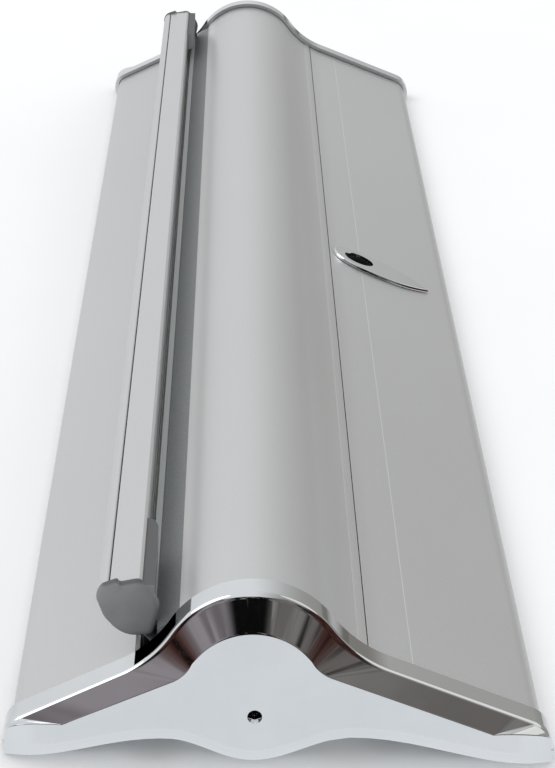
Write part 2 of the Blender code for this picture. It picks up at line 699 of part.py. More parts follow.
def rail_body(parent):
    """Back half of the clamp rail: a front flange, the top face and the back wall."""
    line = [(-48.9 * MM, 50.5 * MM), (-48.9 * MM, 54.9 * MM), (-39.0 * MM, 56.46 * MM)]
    line += [(-38.0 * MM, 55.9 * MM), (-37.7 * MM, 54.9 * MM), (-37.7 * MM, RAIL_FLOOR)]
    bm = prism(wall(line, RAIL_WALL), -RAIL_BODY_HALF, RAIL_BODY_HALF)
    add_object("rail_body", bm, "satin_aluminium", parent)


def rail_jaw(parent):
    """Front half of the clamp rail: it snaps shut on the film and swings forward to let it go."""
    line = [JAW_PIVOT, (-51.7 * MM, 54.3 * MM), (-53.2 * MM, 51.6 * MM), (-52.9 * MM, 49.0 * MM)]
    line += [(-50.5 * MM, 43.6 * MM), (-47.2 * MM, 39.8 * MM), (-43.6 * MM, 37.9 * MM)]
    line += [(-40.4 * MM, 37.9 * MM)]
    outline = wall([(y, z) for y, z in reversed(line)], RAIL_WALL)
    half = RAIL_BODY_HALF - GAP
    add_object("rail_jaw", prism(outline, -half, half), "satin_aluminium", parent)


RAIL_END = [(y * MM, z * MM) for y, z in (
    (-53.6, 50.2), (-53.0, 52.8), (-51.6, 54.9), (-46.3, 57.0), (-45.6, 55.6), (-39.4, 57.0),
    (-37.6, 56.2), (-33.2, 51.0), (-31.9, 47.8), (-32.6, 44.2), (-34.0, 37.4), (-35.2, 36.5),
    (-41.5, 36.3), (-44.5, 37.2), (-47.4, 39.2), (-51.0, 43.3))]


def rail_cap(name, side, parent):
    """Shield-shaped plastic end with a spigot inside the rail and a tongue along its back."""
    bm = prism(RAIL_END, side * (RAIL_HALF - RAIL_CAP), side * RAIL_HALF)
    made = add_object(name, bm, "grey_plastic", parent)
    spigot = box(side * (RAIL_HALF - 16 * MM), side * (RAIL_HALF - 1 * MM),
                 -47.0 * MM, -41.5 * MM, 44 * MM, 52.5 * MM)
    boolean(made, add_object(name + "_spigot", spigot, None, parent), "UNION")
    inner, outer, far = -37.4 * MM, -33.8 * MM, RAIL_HALF - TONGUE
    plan = [(RAIL_HALF - 1 * MM, inner), (far, inner)]
    plan += [(far + 9 * MM * (1 - math.cos(a)), inner + (outer - inner) * math.sin(a))
             for a in (math.radians(d) for d in (30, 60, 90))]
    plan += [(RAIL_HALF - 1 * MM, outer)]
    bm = bmesh.new()
    rings = [[bm.verts.new((side * x, y, z)) for x, y in plan] for z in (45.5 * MM, 55.3 * MM)]
    for i in range(len(plan)):
        j = (i + 1) % len(plan)
        bm.faces.new((rings[0][i], rings[0][j], rings[1][j], rings[1][i]))
    bm.faces.new(rings[0])
    bm.faces.new(rings[1])
    boolean(made, add_object(name + "_tongue", bm, None, parent), "UNION")


# Pole


def pole_section(name, y, parent):
    bm = rod(-POLE_HALF, POLE_HALF, y, POLE_Z, POLE_R, 20, POLE_R - POLE_WALL)
    add_object(f"pole_{name}", bm, "satin_aluminium", parent)


def pole_ferrule(name, y, parent):
    """Spigot at one end of a section that plugs into the next one."""
    inner = POLE_R - POLE_WALL - 0.3 * MM
    profile = ((POLE_HALF - 30 * MM, inner), (POLE_HALF + 0.5 * MM, inner),
               (POLE_HALF + 28 * MM, inner), (POLE_HALF + 30 * MM, inner - 1 * MM))
    add_object(f"pole_ferrule_{name}", turned(profile, y, POLE_Z, 16), "zinc_steel", parent)


def pole_foot(y, parent):
    """Plastic foot in the lower section's end that stands in the socket."""
    inner = POLE_R - POLE_WALL - 0.3 * MM
    profile = ((POLE_HALF - 18 * MM, inner), (POLE_HALF + 0.4 * MM, inner),
               (POLE_HALF + 0.4 * MM, POLE_R), (POLE_HALF + 8 * MM, POLE_R),
               (POLE_HALF + 10 * MM, POLE_R - 2 * MM))
    add_object("pole_foot", turned(profile, y, POLE_Z, 16, -1), "black_plastic", parent)


def pole_hook(y, parent):
    """Plastic head of the upper section: its forked end catches the rail's back edge."""
    inner = POLE_R - POLE_WALL - 0.3 * MM
    profile = ((POLE_HALF - 18 * MM, inner), (POLE_HALF + 0.4 * MM, inner),
               (POLE_HALF + 0.4 * MM, POLE_R), (POLE_HALF + 34 * MM, POLE_R))
    made = add_object("pole_hook", turned(profile, y, POLE_Z, 16, -1), "grey_plastic", parent)
    slot = box(-POLE_HALF - 50 * MM, -POLE_HALF - 14 * MM, y - 1.4 * MM, y + 1.4 * MM, 0, 20 * MM)
    boolean(made, add_object("pole_hook_slot", slot, None, parent))


def clip_outline(places, low, high, wing):
    """An inverted saddle under a wing with one round-topped bay for each pole section."""
    top = wing_outline(wing, SKIN_INSET + WALL + GAP)
    line = [(high, height_at(top, high)), (low, height_at(top, low)), (low, POLE_Z - 1 * MM)]
    radius = POLE_R + GAP
    for y in places:
        line.append((y - radius, POLE_Z - 1 * MM))
        line += arc((y, POLE_Z), radius, 180, 0, 10)
        line.append((y + radius, POLE_Z - 1 * MM))
    return line + [(high, POLE_Z - 1 * MM)]


def pole_clips(parent):
    bays = [-POLE_PLACES["lower"], -POLE_PLACES["middle"]]
    edge = POLE_R + 1.3 * MM      # from a pole's middle to the side of its clip
    front = mirrored(clip_outline(bays, bays[0] - edge, bays[1] + edge - 0.25 * MM, FRONT_WING))
    upper = POLE_PLACES["upper"]
    rear = clip_outline([upper], upper - edge - 0.65 * MM, upper + edge + 0.65 * MM, REAR_WING)
    for label, x in (("left", -CLIP_X), ("right", CLIP_X)):
        for side, outline in (("front", front), ("rear", rear)):
            bm = prism(outline, x - CLIP_LENGTH / 2, x + CLIP_LENGTH / 2)
            add_object(f"pole_clip_{side}_{label}", bm, "black_plastic", parent)


def build():
    clear_scene()
    stand = empty("stand_frame", at=(0, BODY_SHIFT, 0))
    base = empty("base", stand)
    barrel_housing(base)
    front_wing(base)
    rear_wing(base)
    for label, side in (("left", -1), ("right", 1)):
        end_cap(f"end_cap_{label}", side, base)
        bearing_plate(f"bearing_plate_{label}", side, base)
        plate_screws(f"plate_screw_{label}", side, base)
        floor_pad(f"floor_pad_front_{label}", side * 390 * MM, -81 * MM, -73.4 * MM, base)
        floor_pad(f"floor_pad_rear_{label}", side * 390 * MM, 88.9 * MM, 98 * MM, base)
    slot_felt(base)
    pole_socket(base)
    escutcheon(base)
    bearing_bush(base)
    film_inside(base)
    pole_clips(base)
    roller = empty("roller", stand, (0, ROLLER_Y, ROLLER_Z))
    for piece in (roller_tube, banner_roll, idler_plug, spring_plug):
        piece(roller)
    tension = empty("spring_tension", stand, (0, ROLLER_Y, ROLLER_Z))
    for piece in (spring_axle, torsion_spring, spring_anchor):
        piece(tension)
    rail = empty("top_rail", stand)
    rail_body(rail)
    banner_film(rail)
    rail_cap("rail_cap_left", -1, rail)
    rail_cap("rail_cap_right", 1, rail)
    rail_jaw(empty("rail_clamp", stand, (0, *JAW_PIVOT)))
    for name, y in POLE_PLACES.items():
        section = empty(f"pole_{name}_section", stand, (0, y, POLE_Z))
        pole_section(name, y, section)
        if name == "lower":
            pole_foot(y, section)
        if name == "upper":
            pole_hook(y, section)
        else:
            pole_ferrule(name, y, section)


build()
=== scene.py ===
"""Looks of a closed roll-up banner stand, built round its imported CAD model.

Shapes are drawn in barrel coordinates, as the CAD source draws them: X along the cassette, y from
the barrel's middle plane with the banner slot on the -y side, z from the floor. settle() moves
them into the frame. Lengths are in metres.
"""

import json
import math

import bmesh
import bpy
from mathutils import Matrix, Vector
from mathutils.geometry import tessellate_polygon

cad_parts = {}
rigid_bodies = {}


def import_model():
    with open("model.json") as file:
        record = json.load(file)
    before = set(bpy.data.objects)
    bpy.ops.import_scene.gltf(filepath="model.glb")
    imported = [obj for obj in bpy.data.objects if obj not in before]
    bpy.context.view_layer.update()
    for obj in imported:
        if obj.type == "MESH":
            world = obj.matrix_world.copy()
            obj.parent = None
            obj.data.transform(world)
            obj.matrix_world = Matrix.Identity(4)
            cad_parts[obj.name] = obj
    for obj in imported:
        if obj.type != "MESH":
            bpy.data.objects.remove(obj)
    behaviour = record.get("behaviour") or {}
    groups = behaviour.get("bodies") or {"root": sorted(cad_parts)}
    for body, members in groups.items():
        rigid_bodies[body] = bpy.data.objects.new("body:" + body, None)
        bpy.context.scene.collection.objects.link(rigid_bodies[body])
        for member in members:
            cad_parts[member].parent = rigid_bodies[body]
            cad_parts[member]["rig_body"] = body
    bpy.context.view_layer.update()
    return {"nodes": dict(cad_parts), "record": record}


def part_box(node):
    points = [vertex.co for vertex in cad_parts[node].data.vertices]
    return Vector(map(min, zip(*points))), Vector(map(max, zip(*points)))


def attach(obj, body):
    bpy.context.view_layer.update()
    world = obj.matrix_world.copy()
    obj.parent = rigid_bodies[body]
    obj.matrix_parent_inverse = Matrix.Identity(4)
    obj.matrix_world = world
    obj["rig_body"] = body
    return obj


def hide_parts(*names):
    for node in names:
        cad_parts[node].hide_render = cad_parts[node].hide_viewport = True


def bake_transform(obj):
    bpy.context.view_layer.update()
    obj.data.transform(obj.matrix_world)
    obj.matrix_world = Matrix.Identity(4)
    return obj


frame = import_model()

MM = 0.001

# Read from the frame
CAP_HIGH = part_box("end_cap_right")[1]
ROLL_LOW, ROLL_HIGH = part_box("banner_roll")
ROLLER_Y = 0.8 * MM
BARREL_Y = (ROLL_LOW.y + ROLL_HIGH.y) / 2 - ROLLER_Y
ROLLER_Z = (ROLL_LOW.z + ROLL_HIGH.z) / 2
EXTRUSION_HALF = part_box("barrel_housing")[1].x
RAIL_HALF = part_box("rail_cap_right")[1].x
FILM_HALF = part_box("banner_film")[1].x

# Cassette, in section
CAP_NOSE = 7 * MM
BODY_HALF = CAP_HIGH.x - CAP_NOSE
DOME_R = 33.2 * MM
DOME_Z = CAP_HIGH.z - DOME_R
FRONT_WING = dict(slope=0.4953, tip=(79.3 * MM, 13.0 * MM), fillet=39.7 * MM, tip_r=8.8 * MM)
REAR_WING = dict(slope=0.3766, tip=(95.8 * MM, 14.4 * MM), fillet=43.5 * MM, tip_r=10.3 * MM)
FRONT_ARCH = dict(height=7.6 * MM, peak=29.0 * MM, end=80.0 * MM)
REAR_ARCH = dict(height=9.2 * MM, peak=34.5 * MM, end=97.0 * MM)
FACE_DOME = (23.0 * MM, 26.2 * MM)
FRONT_FACE = dict(slope=0.453, tip=(63.5 * MM, 14.5 * MM), fillet=14 * MM)
REAR_FACE = dict(slope=0.366, tip=(80.9 * MM, 13.4 * MM), fillet=14 * MM)
RIM_WALL = 1.9 * MM
RIM_LENGTH = 11.5 * MM
GAP = 0.3 * MM
WALL = 1.6 * MM
SKIN_INSET = RIM_WALL + GAP
WEB_FOOT = 14 * MM
RETURN_Z, RETURN_CURL = 1.2 * MM, 2.4 * MM

# End cap
CAP_CORNERS = [radius * MM for radius in (0, 2.0, 0.7, 2.4, 2.0, 0, 0)]
FACE_FLOOR, FACE_RISE, FACE_SHORT = 5.5 * MM, 0.3 * MM, 1.0 * MM
FOOT_HEIGHT = 5.0 * MM
NOSE_START, NOSE_END = 14 * MM, 5.2 * MM  # from the wing's tip, inwards and outwards
LUGS = ((-50.4 * MM, -44.4 * MM, 10.0 * MM, 13.0 * MM), (50.9 * MM, 56.9 * MM, 10.4 * MM, 13.4 * MM))
KEY_HOLE = [(x * MM, radius * MM, rise * MM) for x, radius, rise in (
    (-30, 1.7, 0.4), (5.2, 1.7, 0.4), (5.8, 1.85, 0.2), (6.5, 2.2, 0), (7.0, 2.5, 0), (7.4, 2.8, 0))]

# Slot, ledge and seams
FLANK_EDGE = 35.5
FLANK_EDGE_Y = (DOME_R - SKIN_INSET) * math.cos(math.radians(FLANK_EDGE))
FLANK_FOOT = (33.4 * MM, 40.5 * MM)
LEDGE_Z, LEDGE_TIP_Y = 41.0 * MM, 35.8 * MM
SLOT_WALL_Y, SLOT_WALL_TOP = 39.9 * MM, 35.0 * MM
SEAM_Y = 39.0 * MM
SEAM_GAP = 0.35 * MM
SEAM_BEAD = [(back * MM, rise * MM) for back, rise in ((3.4, 0), (2.9, 0.22), (0.7, 0.22))]
SCRIBE_Y = 54.6 * MM
FLOOR_CLEAR = 0.8 * MM
NOTCH_TOP = 47 * MM
# Where each notch starts along X, its two sides in y, and its bottom
NOTCHES = [[v * MM for v in notch] for notch in (
    (418.5, -38.0, -32.6, 37.5), (425.5, -38.0, -25.0, 37.5), (425.5, -41.0, -38.0, 30.2))]

# Top rail and film
RAIL_WALL = 1.4 * MM
RAIL_BODY = [(y * MM, z * MM) for y, z in (
    (-48.9, 50.5), (-48.9, 54.9), (-39.0, 56.46), (-38.0, 55.9), (-37.7, 54.9))]
RAIL_JAW = [(y * MM, z * MM) for y, z in (
    (-49.5, 55.0), (-51.7, 54.3), (-53.2, 51.6), (-52.9, 49.0), (-50.5, 43.6), (-47.2, 39.8),
    (-43.6, 37.9), (-40.4, 37.9))]
RAIL_END = [(y * MM, z * MM) for y, z in (
    (-53.6, 50.2), (-53.0, 52.8), (-51.6, 54.9), (-46.3, 57.0), (-45.6, 55.6), (-39.4, 57.0),
    (-37.6, 56.2), (-33.2, 51.0), (-31.9, 47.8), (-32.6, 44.2), (-34.0, 37.4), (-35.2, 36.5),
    (-41.5, 36.3), (-44.5, 37.2), (-47.4, 39.2), (-51.0, 43.3))]
RAIL_END_MIDDLE = (-42.6 * MM, 45.5 * MM)
# The end's dome: distance in from the rail's end, and the outline's size there
RAIL_END_DOME = [(back * MM, share) for back, share in (
    (3.0, 1), (1.9, 1), (1.2, 0.975), (0.6, 0.93), (0.2, 0.87), (0, 0.78))]
RAIL_SPIGOT = (16 * MM, -47.0 * MM, -41.5 * MM, 44 * MM, 52.5 * MM)
TONGUE, TONGUE_ROUND = 57 * MM, 9 * MM
TONGUE_INNER, TONGUE_OUTER = -37.75 * MM, -33.8 * MM
TONGUE_LOW, TONGUE_TOP = 45.5 * MM, 55.3 * MM
FILM = 0.20 * MM
FILM_Y = -39.6 * MM
FILM_LINE = ((-37.3 * MM, 36.2 * MM), (FILM_Y, 38.9 * MM), (FILM_Y, 47 * MM))

# Pole socket
SOCKET_X, SOCKET_Y = -11 * MM, 53.9 * MM
SOCKET_BORE, SOCKET_R = 7.0 * MM, 9.2 * MM
LEAF_WIDTH, LEAF_LENGTH, LEAF_BACK, LEAF_LEAN = 12.5 * MM, 36.5 * MM, 13.9 * MM, 0.18
LEAF_LIFT, LEAF_HEIGHT, LEAF_ROUND = 0.3 * MM, 1.8 * MM, 0.9 * MM

# Finishes
SATIN_METALLIC = 0.6  # the rest is the anodised layer's diffuse white
PAINTED_FLANK_SHADE_REACH = 2.6 * MM
CREASE_FADE = 6 * MM
PAINTED_DARK_RIM = (-SLOT_WALL_Y, -26.2 * MM)
PAINTED_RIM_SHADE = (20 * MM, 26 * MM, 38 * MM, 46 * MM)

# Camera
CAMERA_AT = (1.2394, -0.0218, 0.44235)
CAMERA_YAW, CAMERA_PITCH, CAMERA_ROLL = -1.287, 20.966, 1.626
LENS = 125.4

scene = bpy.context.scene


# Outlines: lists of (y, z) points, the y positive outwards on either wing


def arc(centre, radius, start, end, count):
    """Points on an arc, angles in degrees from +y towards +z."""
    points = []
    for i in range(count + 1):
        angle = math.radians(start + (end - start) * i / count)
        points.append((centre[0] + radius * math.cos(angle), centre[1] + radius * math.sin(angle)))
    return points


def straight(start, end, count):
    """Points on a straight line, both ends included."""
    a, b = Vector(start), Vector(end)
    return [tuple(a.lerp(b, i / count)) for i in range(count + 1)]


def mirrored(points):
    return [(-y, z) for y, z in points]


def wing_fillet(wing, dome_r=DOME_R, dome_z=DOME_Z):
    """Centre of the hollow that joins the dome to a wing's slope, and the slope's angle."""
    angle = math.atan(wing["slope"])
    normal = Vector((math.sin(angle), math.cos(angle)))
    along = Vector((-math.cos(angle), math.sin(angle)))
    start = Vector(wing["tip"]) + wing["fillet"] * normal - Vector((0, dome_z))
    reach = dome_r + wing["fillet"]
    half = start.dot(along)
    travel = -half - math.sqrt(half * half - start.length_squared + reach * reach)
    return start + travel * along + Vector((0, dome_z)), math.degrees(angle)


def wing_top(wing, inset, dome_r=DOME_R, dome_z=DOME_Z):
    """From the top of the dome out to the wing's tip, moved inwards by inset."""
    centre, angle = wing_fillet(wing, dome_r, dome_z)
    to_dome = math.degrees(math.atan2(dome_z - centre.y, -centre.x))
    points = arc((0, dome_z), dome_r - inset, 90, to_dome + 180, 40)
    hollow = arc(centre, wing["fillet"] + inset, to_dome + 360, 270 - angle, 24)
    normal = (math.sin(math.radians(angle)), math.cos(math.radians(angle)))
    end = (wing["tip"][0] - inset * normal[0], wing["tip"][1] - inset * normal[1])
    return points + hollow[1:] + straight(hollow[-1], end, 8)[1:]


def wing_tip(wing, inset, steps=16):
    """The rounded tip, from the end of the slope down to its outermost point."""
    angle = math.atan(wing["slope"])
    radius = wing["tip_r"]
    centre = (wing["tip"][0] - radius * math.sin(angle), wing["tip"][1] - radius * math.cos(angle))
    return arc(centre, radius - inset, 90 - math.degrees(angle), 0, steps)[1:]


def wing_outline(wing, inset):
    return wing_top(wing, inset) + wing_tip(wing, inset)


def height_at(points, y):
    """Height of an outline that runs outwards, at y."""
    for (y0, z0), (y1, z1) in zip(points, points[1:]):
        if y0 <= y <= y1:
            return z0 + (z1 - z0) * (y - y0) / (y1 - y0)
    raise ValueError("y is off the outline")


def arch_height(arch, y):
    """Underside of an end cap: it touches the floor under the barrel and at the tip."""
    if y < arch["peak"]:
        return arch["height"] / 2 * (1 - math.cos(math.pi * y / arch["peak"]))
    share = min((y - arch["peak"]) / (arch["end"] - arch["peak"]), 1)
    return arch["height"] / 2 * (1 + math.cos(math.pi * share))


def underside(arch, y_from, y_to, steps=20):
    """The housing's bottom, which follows the cap's arch from the inside."""
    points = straight((y_from, 0), (y_to, 0), steps)
    return [(y, arch_height(arch, abs(y)) + FLOOR_CLEAR) for y, _ in points]


def wall(points, thickness):
    """Closed outline of a thin wall that lies to the right of the line of points."""
    vectors = [Vector(p) for p in points]
    inner = []
    for i, point in enumerate(vectors):
        before = (point - vectors[i - 1]).normalized() if i else None
        after = (vectors[i + 1] - point).normalized() if i < len(vectors) - 1 else None
        before, after = before or after, after or before
        normal_a = Vector((before.y, -before.x))
        normal_b = Vector((after.y, -after.x))
        middle = (normal_a + normal_b).normalized()
        inner.append(point + middle * thickness / middle.dot(normal_a))
    return [tuple(v) for v in vectors] + [tuple(v) for v in reversed(inner)]


def soften(points, radii, steps=5, closed=False):
    """Rounds the corners of a line; radii gives each corner's setback, and 0 leaves it sharp."""
    vectors = [Vector(p) for p in points]
    made = []
    last = len(vectors) - 1
    for i, corner in enumerate(vectors):
        radius = radii[i] if isinstance(radii, (list, tuple)) else radii
        if not radius or (not closed and i in (0, last)):
            made.append(tuple(corner))
            continue
        before, after = vectors[i - 1] - corner, vectors[(i + 1) % len(vectors)] - corner
        a = corner + before.normalized() * min(radius, 0.45 * before.length)
        b = corner + after.normalized() * min(radius, 0.45 * after.length)
        for k in range(steps + 1):
            t = k / steps
            made.append(tuple((1 - t) ** 2 * a + 2 * t * (1 - t) * corner + t * t * b))
    return made


# Meshes


def loft(rings):
    """Skins closed rings of points, one after the other, and fills both ends."""
    bm = bmesh.new()
    rows = [[bm.verts.new(p) for p in ring] for ring in rings]
    count = len(rings[0])
    for a, b in zip(rows, rows[1:]):
        for i in range(count):
            j = (i + 1) % count
            bm.faces.new((a[i], a[j], b[j], b[i]))
    for row in (rows[0], rows[-1]):
        for triangle in tessellate_polygon([[v.co / MM for v in row]]):
            bm.faces.new([row[i] for i in triangle])
    return bm


def prism(outline, x0, x1):
    return loft([[(x, y, z) for y, z in outline] for x in (x0, x1)])


def box(x0, x1, y0, y1, z0, z1):
    return prism([(y0, z0), (y1, z0), (y1, z1), (y0, z1)], x0, x1)


def upright(outline, z0, z1):
    """A prism of an (x, y) outline, standing up."""
    return loft([[(x, y, z) for x, y in outline] for z in (z0, z1)])


def shape(name, bm):
    bmesh.ops.recalc_face_normals(bm, faces=bm.faces)
    mesh = bpy.data.meshes.new(name)
    bm.to_mesh(mesh)
    bm.free()
    made = bpy.data.objects.new(name, mesh)
    scene.collection.objects.link(made)
    return made


def carve(target, bm, operation="DIFFERENCE"):
    """Cuts or joins at once, so that no tool stays in the scene."""
    tool = shape("carving_tool", bm)
    step = target.modifiers.new("carve", "BOOLEAN")
    step.operation = operation
    step.solver = "EXACT"
    step.object = tool
    graph = bpy.context.evaluated_depsgraph_get()
    made = bpy.data.meshes.new_from_object(target.evaluated_get(graph))
    target.modifiers.clear()
    target.data = made
    bpy.data.objects.remove(tool)


def settle(obj, slot, body, nodes, bevel=0.0, sharp=35, finish=None, shift=True):
    """Gives a piece its place in the frame, rounded edges, smooth shading, finish and body."""
    mesh = obj.data
    if shift:
        mesh.transform(Matrix.Translation((0, BARREL_Y, 0)))
    mesh.shade_smooth()
    mesh.set_sharp_from_angle(angle=math.radians(sharp))
    mesh.materials.clear()
    mesh.materials.append(finish or finish_of(slot))
    mesh.polygons.foreach_set("material_index", [0] * len(mesh.polygons))
    if bevel:
        step = obj.modifiers.new("edges", "BEVEL")
        step.width = bevel
        step.segments = 3
        step.limit_method = "ANGLE"
        step.angle_limit = math.radians(sharp)
        step.use_clamp_overlap = True
    step = obj.modifiers.new("normals", "WEIGHTED_NORMAL")
    step.keep_sharp = not bevel
    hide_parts(*nodes)
    if body:
        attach(obj, body)
    return obj


# Finishes


class Finish:
    """A Principled material whose colour, roughness and bump come from noise, in metres."""

    def __init__(self, name, metallic=0.0):
        self.material = bpy.data.materials.new(name)
        self.material.use_nodes = True
        self.tree = self.material.node_tree
        self.shader = self.tree.nodes["Principled BSDF"]
        self.shader.inputs["Metallic"].default_value = metallic
        self.place = self.node("ShaderNodeTexCoord").outputs["Object"]

    def node(self, kind, inputs=None, **settings):
        made = self.tree.nodes.new(kind)
        for key, value in settings.items():
            setattr(made, key, value)
        for key, value in (inputs or {}).items():
            if isinstance(value, bpy.types.NodeSocket):
                self.tree.links.new(value, made.inputs[key])
            else:
                made.inputs[key].default_value = value
        return made

    def noise(self, scale, stretch=(1, 1, 1), detail=2.0, roughness=0.5):
        """Noise with about scale blotches to the metre, drawn out along an axis by stretch."""
        vector = self.node("ShaderNodeMapping", {"Vector": self.place, "Scale": stretch}).outputs[0]
        values = {"Vector": vector, "Scale": scale, "Detail": detail, "Roughness": roughness}
        return self.node("ShaderNodeTexNoise", values).outputs[0]

    def remap(self, value, low, high, to_low=0.0, to_high=1.0):
        values = {"Value": value, "From Min": low, "From Max": high,
                  "To Min": to_low, "To Max": to_high}
        return self.node("ShaderNodeMapRange", values, interpolation_type="SMOOTHSTEP").outputs[0]

    def math(self, operation, a, b):
        return self.node("ShaderNodeMath", {0: a, 1: b}, operation=operation).outputs[0]

    def mix(self, factor, a, b):
        a, b = ((*c, 1) if isinstance(c, tuple) else c for c in (a, b))
        return self.node("ShaderNodeMix", {0: factor, 6: a, 7: b}, data_type="RGBA").outputs[2]

    def edges(self, radius):
        """1 on convex edges and 0 on flats."""
        bent = self.node("ShaderNodeBevel", {"Radius": radius}, samples=4).outputs[0]
        flat = self.node("ShaderNodeNewGeometry").outputs["Normal"]
        dot = self.node("ShaderNodeVectorMath", {0: bent, 1: flat}, operation="DOT_PRODUCT")
        return self.remap(dot.outputs["Value"], 0.995, 0.80)

    def color(self, value):
        self.tree.links.new(value, self.shader.inputs["Base Color"])

    def roughness(self, value):
        self.tree.links.new(value, self.shader.inputs["Roughness"])

    def bump(self, *layers):
        """Layers are (height 0..1, its depth in metres)."""
        normal = None
        for height, depth in layers:
            values = {"Height": height, "Distance": depth, "Strength": 1.0}
            if normal:
                values["Normal"] = normal
            normal = self.node("ShaderNodeBump", values).outputs[0]
        self.tree.links.new(normal, self.shader.inputs["Normal"])


def satin_aluminium(name="satin_aluminium", scribe_y=None, flank=False):
    """Anodised extrusion: a fine matt grain, a trace of die lines along X, paler worn edges."""
    f = Finish(name, metallic=SATIN_METALLIC)
    cloud = f.noise(7, (0.5, 1, 1), detail=3)
    lines = f.noise(1, (1.5, 900, 900), detail=2)
    grain = f.noise(1900, detail=2)
    tone = f.mix(f.remap(cloud, 0.3, 0.7), (0.552, 0.560, 0.560), (0.580, 0.590, 0.590))
    tone = f.mix(f.remap(lines, 0.40, 0.75, 0, 0.10), tone, (0.56, 0.565, 0.565))
    tone = f.mix(f.remap(grain, 0.3, 0.7, 0, 0.30), tone, (0.70, 0.705, 0.705))
    tone = f.mix(f.math("MULTIPLY", f.edges(0.4 * MM), 0.35), tone, (0.76, 0.765, 0.77))
    rough = f.remap(f.math("ADD", f.math("MULTIPLY", grain, 0.6), f.math("MULTIPLY", cloud, 0.4)),
                    0.3, 0.7, 0.29, 0.37)
    layers = [(grain, 0.012 * MM), (lines, 0.003 * MM)]
    y = f.node("ShaderNodeSeparateXYZ", {0: f.place}).outputs["Y"]
    if scribe_y is not None:
        away = f.math("ABSOLUTE", f.math("SUBTRACT", y, scribe_y), 0)
        groove = f.remap(away, 0.08 * MM, 0.30 * MM)
        tone = f.mix(groove, (0.74, 0.745, 0.74), tone)
        layers.append((groove, 0.05 * MM))
    if flank:
        # Painted shade: the flank behind the rail is coloured dark, paler just past its foot towards the
        # ledge, and is made rougher.
        foot, edge = -FLANK_FOOT[0] + BARREL_Y, -FLANK_EDGE_Y + BARREL_Y
        painted_flank_shade = f.math("MULTIPLY", f.math("GREATER_THAN", y, foot - PAINTED_FLANK_SHADE_REACH), f.math("LESS_THAN", y, edge))
        # skin is the colour of the painted shade on the flank.
        skin = f.mix(f.remap(grain, 0.35, 0.65), (0.245, 0.257, 0.260), (0.325, 0.338, 0.342))
        skin = f.mix(f.math("LESS_THAN", y, foot - 0.1 * MM), skin, (0.42, 0.44, 0.44))
        # Painted light: beside the flank's top edge the dome is coloured paler and made less metallic, fading
        # out over CREASE_FADE.
        painted_crease_light = f.math("GREATER_THAN", y, edge)
        painted_crease_light = f.math("MULTIPLY", painted_crease_light, f.remap(y, edge, edge + CREASE_FADE, 1, 0))
        tone = f.mix(painted_crease_light, tone, (0.80, 0.805, 0.805))
        metal = f.math("SUBTRACT", SATIN_METALLIC, f.math("MULTIPLY", painted_crease_light, 0.5))
        f.tree.links.new(metal, f.shader.inputs["Metallic"])
        tone = f.mix(painted_flank_shade, tone, skin)
        rough = f.math("ADD", rough, f.math("MULTIPLY", painted_flank_shade, 0.18))
    f.color(tone)
    f.roughness(rough)
    f.bump(*layers)
    return f.material


def chrome():
    """Bright chrome on a casting: mirror bevels, a hazier end face, faint wiping marks, and painted dark
    reflections on the rim.
    """
    f = Finish("chrome", metallic=1.0)
    cloud = f.noise(22, detail=4)
    mottle = f.noise(160, detail=3)
    wave = f.noise(55, detail=1)
    wipe = f.noise(6, (1, 30, 90), detail=4)
    facing = f.node("ShaderNodeNewGeometry").outputs["Normal"]
    facing = f.math("ABSOLUTE", f.node("ShaderNodeSeparateXYZ", {0: facing}).outputs["X"], 0)
    tone = f.mix(f.remap(cloud, 0.3, 0.7), (0.735, 0.755, 0.775), (0.785, 0.80, 0.815))
    # Painted reflection: under the rail the rim is coloured near black, with no edge tint, in place of the
    # unlit slot it faces.
    place = f.node("ShaderNodeSeparateXYZ", {0: f.place}).outputs
    on_rim = f.math("LESS_THAN", facing, 0.12)
    painted_slot_reflection = f.math("MULTIPLY", f.math("GREATER_THAN", place["Y"], BARREL_Y + PAINTED_DARK_RIM[0]),
                    f.math("LESS_THAN", place["Y"], BARREL_Y + PAINTED_DARK_RIM[1]))
    painted_slot_reflection = f.math("MULTIPLY", painted_slot_reflection, on_rim)
    # Painted shade: the rim's stretch towards the rear wing is coloured darker, dimming what it mirrors
    # there.
    rise, full, fall, end = (BARREL_Y + y for y in PAINTED_RIM_SHADE)
    hollow = f.math("MULTIPLY", f.remap(place["Y"], rise, full), f.remap(place["Y"], end, fall))
    tone = f.mix(f.math("MULTIPLY", hollow, on_rim), tone, (0.50, 0.485, 0.485))
    f.color(f.mix(painted_slot_reflection, tone, (0.01, 0.01, 0.011)))
    f.tree.links.new(f.mix(painted_slot_reflection, (1.0, 1.0, 1.0), (0.0, 0.0, 0.0)), f.shader.inputs["Specular Tint"])
    haze = f.math("MULTIPLY", f.remap(facing, 0.975, 0.995), f.remap(mottle, 0.3, 0.7, 0.25, 0.29))
    gloss = f.remap(f.math("MULTIPLY", cloud, wipe), 0.1, 0.42, 0.02, 0.07)
    f.roughness(f.math("ADD", gloss, haze))
    f.bump((wave, 0.03 * MM))
    return f.material


